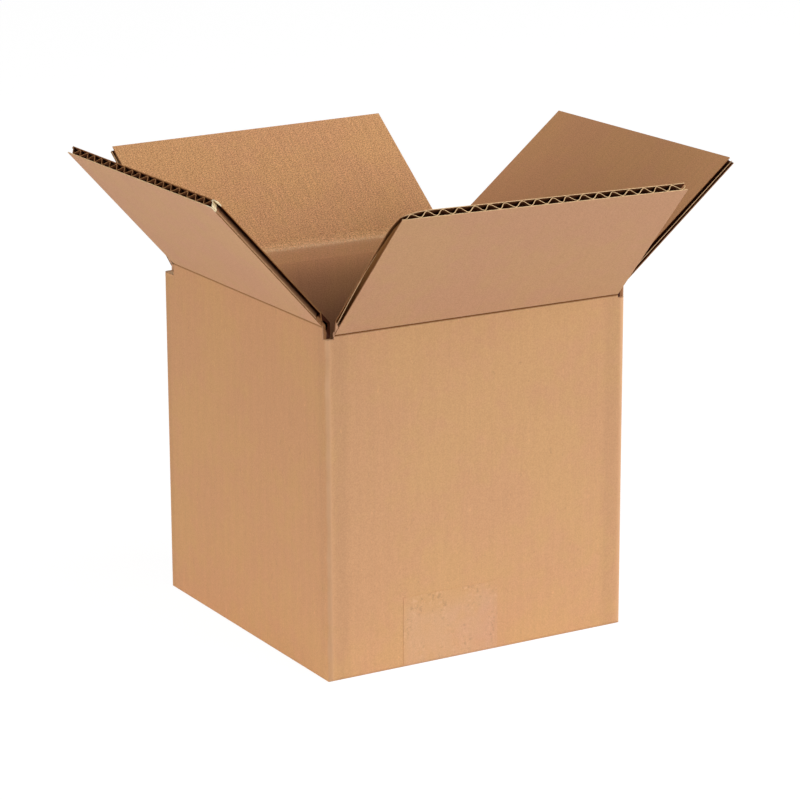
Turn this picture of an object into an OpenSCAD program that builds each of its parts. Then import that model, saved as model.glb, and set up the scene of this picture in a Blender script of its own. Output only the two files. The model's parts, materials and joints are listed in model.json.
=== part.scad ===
// Slotted shipping carton in single-wall corrugated board, standing open.
// The origin is on the floor under the middle of the box. X runs along the front wall,
// Y runs from the front wall to the back wall, and Z is up. Lengths are in millimetres.

/* [Box] */
// Clear width between the left and right walls
inside_w = 152.4; // [110:0.1:260]
// Clear depth between the front and back walls
inside_d = 152.4; // [110:0.1:260]
// Clear height under the closed inner flaps
inside_h = 150; // [60:0.5:260]
// Outer radius of the upright corner folds
corner_fold_r = 2.6; // [1:0.1:3.5]
// Outer radius of the folds along the bottom edges
bottom_fold_r = 1.8; // [0.8:0.1:3]

/* [Board] */
// Thickness of the corrugated board
board_t = 4; // [3:0.1:5]
// Thickness of each flat liner
liner_t = 0.4; // [0.25:0.05:0.6]
// Thickness of the fluted medium between the liners
medium_t = 0.36; // [0.2:0.02:0.5]
// Distance from one flute to the next
flute_pitch = 7.9; // [6:0.1:10]
// Width of the glued crest of each flute
crest_w = 0.9; // [0.5:0.1:1.5]

/* [Top flaps] */
// Tilt of the front flap, outward from upright
front_tilt = 42.5; // [0:0.5:75]
// Tilt of the back flap, outward from upright
back_tilt = 55.5; // [0:0.5:75]
// Tilt of the left flap, outward from upright
left_tilt = 42; // [0:0.5:75]
// Tilt of the right flap, outward from upright
right_tilt = 50.5; // [0:0.5:75]
// Gap between opposite flaps when they are closed
flap_meet_gap = 1; // [0.4:0.1:6]
// Gap between the front flap's left side and the left wall when it is closed
front_gap_left = 1; // [0.3:0.1:8]
// Gap between the front flap's right side and the right wall
front_gap_right = 0.4; // [0.3:0.1:8]
// Gap between the back flap's left side and the left wall
back_gap_left = 0.4; // [0.3:0.1:8]
// Gap between the back flap's right side and the right wall
back_gap_right = 0.4; // [0.3:0.1:8]
// Slot beside the left flap at its front end
left_slot_front = 2.2; // [1:0.1:14]
// Slot beside the left flap at its back end
left_slot_back = 11; // [1:0.1:14]
// Slot beside the right flap at its front end
right_slot_front = 1.6; // [1:0.1:14]
// Slot beside the right flap at its back end
right_slot_back = 12; // [1:0.1:14]
// How far the left side of the front flap leans inward from root to tip
front_side_lean = 4.6; // [0:0.1:8]
// Depth of the slots below the crease of the inner flaps
slot_drop = 1.8; // [0.5:0.1:4]
// Length of the bruise at the front tip corner of the left flap
bruise_len = 6.5; // [2:0.5:15]
// Depth of that bruise
bruise_depth = 1.2; // [0.4:0.1:4]

/* [Scores] */
// Distance from the outer face to the line that a flap turns about
score_gap = 0.15; // [0.1:0.05:0.4]
// Thickness of the crushed board beside a score
crushed_t = 1.6; // [1:0.1:2.4]
// Width of the crushed board on each side of a score
crush_w = 5; // [4:0.1:8]
// Opening angle left between the crushed edges of a closed flap
score_clearance = 2; // [1:0.5:6]
// Gap between an inner flap and the outer flap closed over it
stack_gap = 0.15; // [0.1:0.05:0.6]

/* [Bottom] */
// Gap between the bottom flaps where they meet
seam_gap = 1; // [0.4:0.1:6]
// Gap between the outer and inner layers of bottom flaps
layer_gap = 0.2; // [0.1:0.05:0.6]
// Gap between the bottom flaps and the walls beside them
tuck_gap = 0.4; // [0.2:0.1:3]

/* [Glued joint] */
// Width of the tab glued inside the back wall
tab_w = 32; // [20:1:45]
// Distance of the tab's upper and lower ends from the inner flaps
tab_clear = 3; // [1:0.5:12]
// Width of the cleft where the back wall butts against the corner fold
joint_gap = 0.5; // [0.3:0.1:1]
// Depth of that cleft
joint_depth = 1.6; // [0.8:0.1:2.4]

/* [Tape] */
// Width of the tape along the bottom seam
tape_w = 50.8; // [44:0.1:76]
// Thickness of the tape
tape_t = 0.1; // [0.05:0.01:0.2]
// Distance of the tape's middle from the seam, to the right
tape_shift = -15; // [-20:0.5:20]
// Height of the tape's turned-up end on the front wall
tape_up_front = 34; // [10:1:60]
// Height of the tape's turned-up end on the back wall
tape_up_back = 34; // [10:1:60]

/* [Hidden] */

$fn = 48;
kraft = "#c99a6c";
kraft_inside = "#bd8a5c";
tape_tint = "#dcbf9c";
over = 1;
hair = 0.05;

box_w = inside_w + 2 * board_t;
box_d = inside_d + 2 * board_t;
floor_z = 2 * board_t + layer_gap;
inner_hinge_z = floor_z + inside_h + board_t + score_gap;
outer_hinge_z = inner_hinge_z + board_t + stack_gap;
flap_len_y = box_d / 2 + score_gap - flap_meet_gap / 2;
flap_len_x = box_w / 2 + score_gap - flap_meet_gap / 2;
front_slot_left = board_t + front_gap_left;
front_slot_right = board_t + front_gap_right;
back_slot_left = board_t + back_gap_left;
back_slot_right = board_t + back_gap_right;
mitre = tan(45 + score_clearance / 2);

// Height of the medium's centre line above the outer face, at a place along the board
wave_h = (board_t - 2 * liner_t - medium_t) / 2;
function wave(x) = board_t / 2 + wave_h * cos(360 * x / flute_pitch);
function wave_slope(x) = -wave_h * 2 * PI / flute_pitch * sin(360 * x / flute_pitch);
function medium_half(x) = medium_t / 2 * sqrt(1 + pow(wave_slope(x), 2));

// One hollow of the fluting, under the inner liner (side 1) or over the outer liner (side -1)
wave_steps = 8;
hollow_half = (flute_pitch - crest_w) / 2;
module flute_hollow(x0, side) {
    liner_y = side > 0 ? board_t - liner_t : liner_t;
    xs = [for (i = [0 : wave_steps]) x0 - hollow_half + 2 * hollow_half * i / wave_steps];
    polygon(concat(
        [for (x = xs) [x, wave(x) + side * medium_half(x)]],
        [[x0 + hollow_half, liner_y], [x0 - hollow_half, liner_y]]
    ));
}

// Cross-section of the board, seen along the flutes, with its outer face on y = 0
module board_section(width) {
    count = ceil(width / 2 / flute_pitch) + 1;
    difference() {
        translate([-width / 2, 0]) square([width, board_t]);
        for (i = [-count : count]) {
            flute_hollow((i + 0.5) * flute_pitch, 1);
            flute_hollow(i * flute_pitch, -1);
        }
    }
}

// Outline of a flap's crushed root, from its turning line at the origin: y inward, z along the flap
root_len = crush_w + 0.5;
module root_outline() {
    polygon([
        [score_gap, score_gap * mitre],
        [score_gap + crushed_t, (score_gap + crushed_t) * mitre],
        [score_gap + board_t, crush_w],
        [score_gap + board_t, root_len],
        [score_gap, root_len]
    ]);
}

// Extrudes an outline drawn across a fold, y inward and z up, along the fold's length
module along_fold(length) {
    translate([-length / 2, 0, 0]) rotate([90, 0, 90]) linear_extrude(length) children();
}

// Cuts through a flap along an outline drawn on it: x along the fold, y up the flap
module through_flap() {
    rotate([90, 0, 0]) linear_extrude(2 * (board_t + over), center = true) children();
}

// Waste cut off beside a flap, at its left (side -1) or right (side 1) end as seen from outside
module slot_waste(width, length, slot, lean, side) {
    edge = width / 2 - slot;
    step = lean / length;
    beyond = width / 2 + over;
    through_flap() polygon([
        [side * (edge + step * over), -over],
        [side * beyond, -over],
        [side * beyond, length + over],
        [side * (edge - step * (length + over)), length + over]
    ]);
}

// Waste where a tip corner has been knocked in, at the flap's right end as seen from outside
module bruise_waste(width, length, slot) {
    edge = width / 2 - slot;
    step = bruise_depth / bruise_len;
    through_flap() polygon([
        [edge, length - bruise_len],
        [edge + over, length - bruise_len],
        [edge + over, length + over],
        [edge - bruise_depth - step * over, length + over]
    ]);
}

// A top flap on its turning line, upright: x along the fold, y inward, z up the flap
module flap(width, length, slot_left, slot_right, lean_left = 0) {
    difference() {
        union() {
            along_fold(width) root_outline();
            translate([0, score_gap, root_len]) linear_extrude(length - root_len) board_section(width);
        }
        slot_waste(width, length, slot_left, lean_left, -1);
        slot_waste(width, length, slot_right, 0, 1);
    }
}

// Places a flap on the wall whose outward direction is -Y turned by heading
module on_wall(heading, reach, hinge_z, tilt) {
    rotate([0, 0, heading]) translate([0, -reach - score_gap, hinge_z]) rotate([tilt, 0, 0]) children();
}

// Plan of the walls: one strip of board folded round three corners, its ends joined at the fourth
module wall_plan() {
    difference() {
        union() {
            for (sx = [-1, 1], sy = [-1, 1])
                translate([sx * (box_w / 2 - corner_fold_r), sy * (box_d / 2 - corner_fold_r)])
                    circle(r = corner_fold_r);
            square([box_w - 2 * corner_fold_r, box_d], center = true);
            square([box_w, box_d - 2 * corner_fold_r], center = true);
            translate([box_w / 2 - corner_fold_r - over, box_d / 2 - board_t])
                square([corner_fold_r + over, board_t]);
        }
        square([inside_w, inside_d], center = true);
        translate([box_w / 2 - joint_depth, box_d / 2 - board_t - joint_gap])
            square([joint_depth + over, joint_gap]);
    }
}

// Space above the crushed top of a wall, across the wall from its turning line
module above_wall_outline() {
    polygon([
        [score_gap - over, -score_gap * mitre],
        [score_gap, -score_gap * mitre],
        [score_gap + crushed_t, -(score_gap + crushed_t) * mitre],
        [score_gap + board_t, -crush_w],
        [score_gap + board_t + hair, -crush_w],
        [score_gap + board_t + hair, 3 * board_t],
        [score_gap - over, 3 * board_t]
    ]);
}

// Slot between two flaps at a corner: along_x and along_y are its lengths beside the corner
module corner_slot(sx, sy, along_x, along_y) {
    slot_z = inner_hinge_z - slot_drop;
    slot_h = outer_hinge_z - slot_z + over;
    mirror([sx < 0 ? 1 : 0, 0, 0]) mirror([0, sy < 0 ? 1 : 0, 0]) {
        translate([box_w / 2 - along_x, box_d / 2 - along_y, slot_z])
            cube([along_x + over, along_y + over, slot_h]);
        translate([box_w / 2 - along_x, box_d / 2 - board_t, slot_z])
            cube([along_x - board_t, board_t + over, slot_h]);
    }
}

// Upright section of the box's underside: flat, with a rounded fold at each side
module underside_section(half, lift, swell) {
    r = bottom_fold_r + swell;
    translate([0, lift - swell]) {
        for (s = [-1, 1]) translate([s * (half + swell - r), r]) circle(r = r);
        translate([-half - swell + r, 0]) square([2 * (half + swell - r), r]);
        translate([-half - swell, r]) square([2 * (half + swell), box_d]);
    }
}

// Waste under the box and outside its rounded bottom folds, when they are lifted off the floor
module fold_waste(half, length, lift) {
    along_fold(length) difference() {
        translate([-half - over, -over]) square([2 * (half + over), over + lift + bottom_fold_r]);
        underside_section(half, lift, 0);
    }
}

// The bottom flaps: the outer pair folds in from the sides, the inner pair lies on it
module bottom_flaps() {
    for (s = [-1, 1]) {
        outer_len = (box_w - seam_gap - board_t) / 2;
        translate([s * (seam_gap + outer_len) / 2, 0, board_t / 2])
            cube([outer_len, inside_d - 2 * tuck_gap, board_t], center = true);
        inner_len = (box_d - seam_gap - board_t) / 2;
        translate([0, s * (seam_gap + inner_len) / 2, floor_z - board_t / 2])
            cube([inside_w - 2 * tuck_gap, inner_len, board_t], center = true);
    }
}

// The tab that carries on round the back right corner and is glued inside the back wall
module glue_tab() {
    tab_low = floor_z + tab_clear;
    tab_high = inner_hinge_z - score_gap - board_t - tab_clear;
    translate([inside_w / 2 - tab_w, inside_d / 2 - board_t, tab_low])
        cube([tab_w, board_t, tab_high - tab_low]);
}

// The walls, bottom flaps and glued tab: one folded sheet
module box_body() {
    color(kraft) difference() {
        union() {
            linear_extrude(outer_hinge_z) wall_plan();
            bottom_flaps();
            glue_tab();
        }
        for (heading = [0, 180])
            on_wall(heading, box_d / 2, inner_hinge_z, 0) along_fold(inside_w) above_wall_outline();
        for (heading = [90, -90])
            on_wall(heading, box_w / 2, outer_hinge_z, 0) along_fold(box_d + 2 * over) above_wall_outline();
        corner_slot(-1, -1, front_slot_left, left_slot_front);
        corner_slot(1, -1, front_slot_right, right_slot_front);
        corner_slot(-1, 1, back_slot_left, left_slot_back);
        corner_slot(1, 1, back_slot_right, right_slot_back);
        fold_waste(box_d / 2, box_w + 2 * over, 0);
        rotate([0, 0, 90]) fold_waste(box_w / 2, box_d + 2 * over, 0);
        translate([tape_shift, 0, 0]) fold_waste(box_d / 2, tape_w, tape_t);
    }
}

module flap_front() {
    color(kraft) on_wall(0, box_d / 2, inner_hinge_z, front_tilt)
        flap(box_w, flap_len_y, front_slot_left, front_slot_right, front_side_lean);
}

module flap_back() {
    color(kraft_inside) on_wall(180, box_d / 2, inner_hinge_z, back_tilt)
        flap(box_w, flap_len_y, back_slot_right, back_slot_left);
}

module flap_left() {
    color(kraft) on_wall(-90, box_w / 2, outer_hinge_z, left_tilt) difference() {
        flap(box_d, flap_len_x, left_slot_back, left_slot_front);
        bruise_waste(box_d, flap_len_x, left_slot_front);
    }
}

module flap_right() {
    color(kraft_inside) on_wall(90, box_w / 2, outer_hinge_z, right_tilt)
        flap(box_d, flap_len_x, right_slot_front, right_slot_back);
}

module bottom_tape() {
    color(tape_tint) translate([tape_shift, 0, 0]) along_fold(tape_w)
        difference() {
            underside_section(box_d / 2, tape_t, tape_t);
            underside_section(box_d / 2, tape_t, 0);
            translate([-box_d, tape_up_front]) square([box_d, 2 * box_d]);
            translate([0, tape_up_back]) square([box_d, 2 * box_d]);
        }
}

box_body();
flap_front();
flap_back();
flap_left();
flap_right();
bottom_tape();
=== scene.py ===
"""Looks of a plain corrugated carton that stands open: its board, scores, tape, camera and light.

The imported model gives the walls, the tape and where each flap turns. Each flap is built here again
from its real layers: two flat liners, the fluted medium between them and the crushed band along the
score. Lengths are in metres. In materials, and in names that end in _mm, they are in millimetres.
"""

import json
import logging
import math
import random
from collections.abc import Callable, Sequence
from dataclasses import dataclass, field, replace
from enum import Enum
from functools import cached_property

import bpy
from mathutils import Matrix, Vector


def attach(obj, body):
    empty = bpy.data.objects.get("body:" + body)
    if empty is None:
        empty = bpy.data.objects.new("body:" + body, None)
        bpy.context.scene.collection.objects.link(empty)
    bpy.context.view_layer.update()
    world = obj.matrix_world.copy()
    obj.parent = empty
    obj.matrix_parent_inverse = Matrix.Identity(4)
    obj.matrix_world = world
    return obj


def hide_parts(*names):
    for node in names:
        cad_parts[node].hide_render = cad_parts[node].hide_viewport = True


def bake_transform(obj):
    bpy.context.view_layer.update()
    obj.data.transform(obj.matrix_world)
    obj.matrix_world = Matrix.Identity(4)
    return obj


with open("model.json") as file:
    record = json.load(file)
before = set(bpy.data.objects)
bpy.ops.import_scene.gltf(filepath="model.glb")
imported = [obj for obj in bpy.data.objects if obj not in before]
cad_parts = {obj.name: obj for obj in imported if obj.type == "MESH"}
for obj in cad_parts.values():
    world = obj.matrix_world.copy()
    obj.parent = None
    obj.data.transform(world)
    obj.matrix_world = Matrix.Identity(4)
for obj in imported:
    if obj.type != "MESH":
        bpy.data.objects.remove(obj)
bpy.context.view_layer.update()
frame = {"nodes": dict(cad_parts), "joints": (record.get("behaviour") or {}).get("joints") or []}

log = logging.getLogger("carton")
MM = 0.001
UP = Vector((0, 0, 1))
Colour = tuple[float, float, float, float]
Weight = Callable[[Vector], float]
Test = Callable[[Vector], bool]
Mark = Callable[[Vector], Sequence[float]]


class Side(Enum):
    """A wall of the box, by the direction that it faces."""

    FRONT = (0, -1)
    BACK = (0, 1)
    LEFT = (-1, 0)
    RIGHT = (1, 0)

    @property
    def label(self) -> str:
        """The side's name in small letters."""
        return self.name.lower()

    @property
    def outward(self) -> Vector:
        """The direction that the wall faces."""
        return Vector((*self.value, 0))

    @property
    def along(self) -> Vector:
        """The direction along the wall, from left to right as seen from outside."""
        return UP.cross(self.outward)


class Wire:
    """A shader socket that can be used in sums, as a number would be."""

    def __init__(self, tree: "Tree", socket: bpy.types.NodeSocket) -> None:
        """Keeps the socket and the tree that it belongs to."""
        self.tree = tree
        self.socket = socket

    def maths(self, operation: str, *values: "Wire | float") -> "Wire":
        """Adds a Math node.

        Args:
            operation: the node's operation.
            values: its inputs, in order.

        Returns:
            The node's output.
        """
        inputs = dict(enumerate(values))
        return self.tree.node("ShaderNodeMath", {"operation": operation}, inputs)

    def __add__(self, other: "Wire | float") -> "Wire":
        """Sum."""
        return self.maths("ADD", self, other)

    def __sub__(self, other: "Wire | float") -> "Wire":
        """Difference."""
        return self.maths("SUBTRACT", self, other)

    def __rsub__(self, other: float) -> "Wire":
        """Difference from a number."""
        return self.maths("SUBTRACT", other, self)

    def __neg__(self) -> "Wire":
        """The value with its sign turned."""
        return 0 - self

    def __mul__(self, other: "Wire | float") -> "Wire":
        """Product."""
        return self.maths("MULTIPLY", self, other)

    __radd__ = __add__
    __rmul__ = __mul__

    def above(self, other: "Wire | float") -> "Wire":
        """1 where this is more than the other, and 0 elsewhere."""
        return self.maths("GREATER_THAN", self, other)

    def larger(self, other: "Wire | float") -> "Wire":
        """The larger of the two."""
        return self.maths("MAXIMUM", self, other)

    def size(self) -> "Wire":
        """The value without its sign."""
        return self.maths("ABSOLUTE", self)

    def wave(self, length: float) -> "Wire":
        """A sine of this value whose waves are that long."""
        turned = self * (2 * math.pi / length)
        return turned.maths("SINE", turned)

    def between(self, low: float, high: float) -> "Wire":
        """A smooth step from 0 at low to 1 at high."""
        settings = {"interpolation_type": "SMOOTHSTEP"}
        return self.tree.node("ShaderNodeMapRange", settings, {0: self, 1: low, 2: high})


class Tree:
    """A node tree that is written as expressions."""

    def __init__(self, tree: bpy.types.NodeTree) -> None:
        """Keeps the tree that nodes are added to."""
        self.tree = tree

    def add(self, kind: str, settings: dict, inputs: dict) -> bpy.types.Node:
        """Adds a node of any type.

        Args:
            kind: the node's type.
            settings: its own settings, which are set first.
            inputs: values or wires, by the socket's name or place.

        Returns:
            The node.
        """
        made = self.tree.nodes.new(kind)
        for key, value in settings.items():
            setattr(made, key, value)
        for key, value in inputs.items():
            self.feed(made.inputs[key], value)
        return made

    def node(self, kind: str, settings: dict, inputs: dict, output: int | str = 0) -> Wire:
        """Adds a node and gives one of its outputs, by its name or place."""
        return Wire(self, self.add(kind, settings, inputs).outputs[output])

    def feed(self, socket: bpy.types.NodeSocket, value: object) -> None:
        """Links a wire to a socket, or sets the socket's own value.

        Args:
            socket: the socket to feed.
            value: a wire, a number or a vector.
        """
        if isinstance(value, Wire):
            self.tree.links.new(value.socket, socket)
        else:
            socket.default_value = value

    def seen(self) -> Wire:
        """Finds out what a ray is for.

        Returns:
            1 for what is seen straight, in a reflection or through glass, and 0 for light.
        """
        rays = self.add("ShaderNodeLightPath", {}, {}).outputs
        total = Wire(self, rays["Is Camera Ray"])
        for kind in ("Is Glossy Ray", "Is Transmission Ray"):
            total = total.larger(Wire(self, rays[kind]))
        return total

    def close(self, kind: str, share: Wire, lit: Wire, shown: Wire) -> None:
        """Ends the tree with a mix of two shaders.

        Args:
            kind: the type of the output node.
            share: how much of the second shader there is.
            lit: the first shader, which gives or takes light.
            shown: the second shader, which is what is seen.
        """
        mixed = self.node("ShaderNodeMixShader", {}, {0: share, 1: lit, 2: shown})
        self.add(kind, {}, {0: mixed})


class Recipe(Tree):
    """The node tree of one material, and the place that its patterns follow."""

    def __init__(self, name: str, flat: bool = True) -> None:
        """Makes the material with its plain shader.

        Args:
            name: the material's name.
            flat: whether patterns lie on the flat board, rather than in the model's frame.
        """
        self.material = bpy.data.materials.new(name)
        self.material.use_nodes = True
        super().__init__(self.material.node_tree)
        self.flat = flat
        self.shader = self.tree.nodes["Principled BSDF"]

    def shade(self, **inputs: object) -> bpy.types.Material:
        """Feeds the shader.

        Args:
            inputs: values or wires, by the socket's name with _ for each space.

        Returns:
            The finished material.
        """
        for key, value in inputs.items():
            self.feed(self.shader.inputs[key.replace("_", " ")], value)
        return self.material

    @cached_property
    def at(self) -> Wire:
        """Finds where a point is.

        Returns:
            Its place in millimetres, on the flat board or in the model's frame.
        """
        if self.flat:
            return self.own("board")
        return self.scale(self.node("ShaderNodeTexCoord", {}, {}, "Object"), 1 / MM)

    @cached_property
    def axes(self) -> list[Wire]:
        """The three numbers of that place."""
        return self.parts(self.at)

    def own(self, name: str) -> Wire:
        """A vector that the mesh carries with it."""
        return self.node("ShaderNodeAttribute", {"attribute_name": name}, {}, "Vector")

    def parts(self, vector: Wire) -> list[Wire]:
        """The three numbers of a vector."""
        split = self.add("ShaderNodeSeparateXYZ", {}, {0: vector})
        return [Wire(self, socket) for socket in split.outputs]

    def scale(self, vector: Wire | Sequence[float], by: Wire | float) -> Wire:
        """A vector or colour times a number."""
        return self.node("ShaderNodeVectorMath", {"operation": "SCALE"}, {0: vector, 3: by})

    def dye(self, tone: Colour, by: Wire | float) -> Wire:
        """A plain colour times a number."""
        return self.scale(tone[:3], by)

    def stretch(self, vector: Wire, by: Wire | Sequence[float]) -> Wire:
        """A vector with each of its numbers multiplied by its own factor."""
        return self.node("ShaderNodeVectorMath", {"operation": "MULTIPLY"}, {0: vector, 1: by})

    def vary(self, tint: Wire, by: Wire) -> Wire:
        """A colour with a share of itself added, from its own share for each channel."""
        return self.node("ShaderNodeVectorMath", {"operation": "MULTIPLY_ADD"}, {0: tint, 1: by, 2: tint})

    def noise(self, grain: float, detail: float = 2, shrink: Sequence[float] | None = None) -> Wire:
        """Adds noise from about -0.5 to 0.5.

        Args:
            grain: the width of its patches.
            detail: how many finer layers it has.
            shrink: what the place is multiplied by, for patches that are longer one way.

        Returns:
            The noise.
        """
        at = self.stretch(self.at, shrink) if shrink else self.at
        inputs = {"Vector": at, "Scale": 1 / grain, "Detail": detail}
        return self.node("ShaderNodeTexNoise", {}, inputs) - 0.5

    def mix(self, share: Wire | float, first: Wire | Colour, second: Wire | Colour) -> Wire:
        """The first colour where share is 0, the second where it is 1."""
        inputs = {0: share, 6: first, 7: second}
        return self.node("ShaderNodeMix", {"data_type": "RGBA"}, inputs, 2)

    def bump(self, height: Wire, depth: float) -> Wire:
        """A normal from a height between 0 and 1."""
        inputs = {"Height": height, "Distance": depth * MM, "Strength": 1}
        return self.node("ShaderNodeBump", {}, inputs)


def colour(red: int, green: int, blue: int) -> Colour:
    """The linear colour for one that is given as a screen shows it."""
    linear = [((channel / 255 + 0.055) / 1.055) ** 2.4 for channel in (red, green, blue)]
    return (*linear, 1)


WHITE: Colour = (1, 1, 1, 1)
CUT_EDGE = colour(232, 194, 146)
CUT_SIDE = colour(150, 104, 68)
TORN_CORNER = colour(246, 228, 190)
FLUTE_SIDE = colour(212, 172, 130)
CRUSHED_EDGE = colour(204, 158, 124)
# Painted shade inside the open flutes: the colour at their mouth and deeper in.
HOLLOW_MOUTH_SHADE = colour(112, 68, 42)
HOLLOW_DEEP_SHADE = colour(62, 28, 14)
# Painted shade along the bottom of the creases.
FRONT_CREASE_SHADE = colour(120, 76, 42)
SOFT_CREASE_SHADE = colour(160, 115, 75)
LEFT_FLUTE_EDGE = colour(172, 122, 78)
LEFT_INNER_EDGE = colour(158, 108, 66)
# Painted shade inside the open flutes along some flaps' sides: at their mouth and deeper in.
LEFT_MOUTH_SHADE = colour(178, 130, 94)
LEFT_DEEP_SHADE = colour(78, 42, 24)
FRONT_MOUTH_SHADE = colour(140, 94, 54)
FRONT_DEEP_SHADE = colour(100, 62, 34)
BACK_MOUTH_SHADE = colour(176, 128, 88)
BACK_DEEP_SHADE = colour(110, 72, 46)
PALE_GRAIN = (0.72, 1.0, 1.2)
CORNER_MM = 10.0
ALONG_FLUTES = (1.0, 0.07, 1.0)
UPRIGHT = (1.0, 1.0, 0.07)
STRETCH_MM = 400
LINER_CELLS = (40, 20)


@dataclass(frozen=True)
class Kraft:
    """A kraft liner: matt paper with soft patches, fine specks and short fibres.

    Args:
        base: the usual colour.
        warm: the colour of the pinker patches.
        specks: how strongly the fine specks show.
        fibres: how strongly the fibres show.
        marks: how strongly the sparse small marks show.
        rough: the roughness.
        relief: the height of the surface's grain.
    """

    base: Colour
    warm: Colour
    specks: float
    fibres: float
    marks: float = 0
    rough: float = 0.82
    relief: float = 0.035

    def tint(self, recipe: Recipe, fibre_way: Sequence[float]) -> tuple[Wire, Wire]:
        """Builds the liner's colour and surface height.

        Args:
            recipe: the material that is being made.
            fibre_way: how much each axis is shrunk to make fibres.

        Returns:
            The colour, and a height around 0.5.
        """
        broad = recipe.noise(46, 1)
        patch = recipe.noise(9)
        speck = recipe.noise(0.6)
        fibre = recipe.noise(1.1, 3, fibre_way)
        warmth = (patch * 1.6 + broad * 2.2 + 0.5).between(0.1, 0.9)
        base = recipe.mix(warmth, self.base, self.warm)
        tone = patch * 0.05 + fibre * self.fibres + 1
        if self.marks:
            spot = recipe.noise(2.4, shrink=(1, 1, 0.6))
            pale = spot.between(0.2, 0.3)
            dark = (-spot).between(0.2, 0.3)
            tone = tone + (pale - dark) * self.marks
        grain = recipe.scale(PALE_GRAIN, speck * self.specks)
        height = speck * 0.6 + fibre * 0.5 + 0.5
        return recipe.vary(recipe.scale(base, tone), grain), height


OUTER = Kraft(colour(211, 164, 119), colour(210, 160, 121), specks=0.42, fibres=0.1, marks=0.11)
FLAP_OUTER = Kraft(colour(208, 162, 121), colour(207, 158, 123), specks=0.5, fibres=0.08, marks=0.07)
INNER = Kraft(colour(217, 161, 111), colour(215, 157, 112), specks=0.95, fibres=0.15)
COARSE = Kraft(colour(220, 165, 113), colour(218, 161, 114), specks=2.7, fibres=0.35)


def torn_corner(recipe: Recipe, tint: Wire) -> Wire:
    """Lays bare the pale paper where a flap's tip corner is torn.

    Args:
        recipe: the material that is being made.
        tint: the colour so far.

    Returns:
        The colour with the torn corner.
    """
    torn = 3.6
    nearness = recipe.parts(recipe.own("cut"))[2] + recipe.noise(2) * 1.5
    bare = nearness.between(CORNER_MM - torn, CORNER_MM - torn + 0.8)
    return recipe.mix(bare, tint, TORN_CORNER)


def crushed_layers(recipe: Recipe, through: Wire) -> Wire:
    """Colours the cut edge of crushed board: pale outside, brown in the middle and dark inside.
    The dark inside is painted shade in the opened flutes, and the brown middle is the paper's own brown
    with painted shade.

    Args:
        recipe: the material that is being made.
        through: how far a point is behind the outer face.

    Returns:
        The colour.
    """
    fray = recipe.noise(0.9, 3)
    behind = through + fray * 0.8
    tint = recipe.mix(behind.between(0.2, 0.9), CRUSHED_EDGE, CUT_SIDE)
    tint = recipe.mix(behind.between(1.7, 2.5), tint, HOLLOW_DEEP_SHADE)
    return recipe.scale(tint, fray * 0.5 + 1)


@dataclass(frozen=True)
class LinerFace:
    """The flat face of a flap's liner.

    Args:
        name: the material's name.
        kraft: the paper.
        line: the colour of the painted crease shade at the foot of the flap.
        line_mm: the width of that painted shade, or 0 where there is none.
    """

    name: str
    kraft: Kraft
    line: Colour = SOFT_CREASE_SHADE
    line_mm: float = 0

    def material(self) -> bpy.types.Material:
        """Makes the material.

        Returns:
            The material.
        """
        recipe = Recipe(self.name)
        tint, height = self.kraft.tint(recipe, ALONG_FLUTES)
        # Painted crease shade along the foot of the flap.
        if self.line_mm:
            up_flap = recipe.axes[1] + recipe.noise(1.5) * 0.3
            share = 1 - up_flap.between(self.line_mm * 0.6, self.line_mm)
            tint = recipe.mix(share, tint, self.line)
        normal = recipe.bump(height, self.kraft.relief)
        rough = self.kraft.rough
        return recipe.shade(Base_Color=tint, Normal=normal, Roughness=rough, Specular_IOR_Level=0.25)


@dataclass(frozen=True)
class TornPaper:
    """The slightly furry cut edge of a sheet of paper, pale along a flap's tip.

    Args:
        name: the material's name.
        tip: the usual colour along the tip.
        side: the usual colour along the sides.
        inner: the colour in the inner half of the board, where it differs.
    """

    name: str
    tip: Colour = CUT_EDGE
    side: Colour = CUT_SIDE
    inner: Colour | None = None

    def material(self) -> bpy.types.Material:
        """Makes the material.

        Returns:
            The material.
        """
        recipe = Recipe(self.name)
        fray = recipe.noise(0.9, 3)
        stain = recipe.noise(4)
        below_tip = recipe.parts(recipe.own("cut"))[1].between(0.05, 0.4)
        tint = recipe.mix(below_tip, self.tip, self.side)
        if self.inner:
            behind = fray * 0.6 - recipe.axes[2]
            tint = recipe.mix(behind.between(1.9, 2.4), tint, self.inner)
        tint = recipe.scale(tint, fray * 0.7 + stain * 0.6 + 1)
        tint = torn_corner(recipe, tint)
        normal = recipe.bump(fray + 0.5, 0.08)
        return recipe.shade(Base_Color=tint, Normal=normal, Roughness=0.95, Specular_IOR_Level=0.15)


@dataclass(frozen=True)
class Hollow:
    """The inside of the flutes, with painted shade that darkens with the depth behind the cut edge.

    Args:
        name: the material's name.
        mouth: the colour of the painted shade just behind the flap's sides.
        deep: the colour of the painted shade that it darkens to there.
        reach: the depth at which it is as dark as it gets.
    """

    name: str
    mouth: Colour = HOLLOW_MOUTH_SHADE
    deep: Colour = HOLLOW_DEEP_SHADE
    reach: float = 1.6

    def material(self) -> bpy.types.Material:
        """Makes the material.

        Returns:
            The material.
        """
        recipe = Recipe(self.name)
        depth, below_tip, _ = recipe.parts(recipe.own("cut"))
        grain = recipe.noise(0.8, 3)
        # Painted shade: darker the deeper the point lies behind the cut edge.
        dark = (depth + grain * 0.5).between(-0.1, self.reach)
        at_tip = recipe.mix(dark, HOLLOW_MOUTH_SHADE, HOLLOW_DEEP_SHADE)
        at_side = recipe.mix(dark, self.mouth, self.deep)
        tint = recipe.mix(below_tip.between(2, 4), at_tip, at_side)
        tint = torn_corner(recipe, recipe.scale(tint, grain * 0.4 + 1))
        return recipe.shade(Base_Color=tint, Roughness=0.95, Specular_IOR_Level=0.05)


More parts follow.
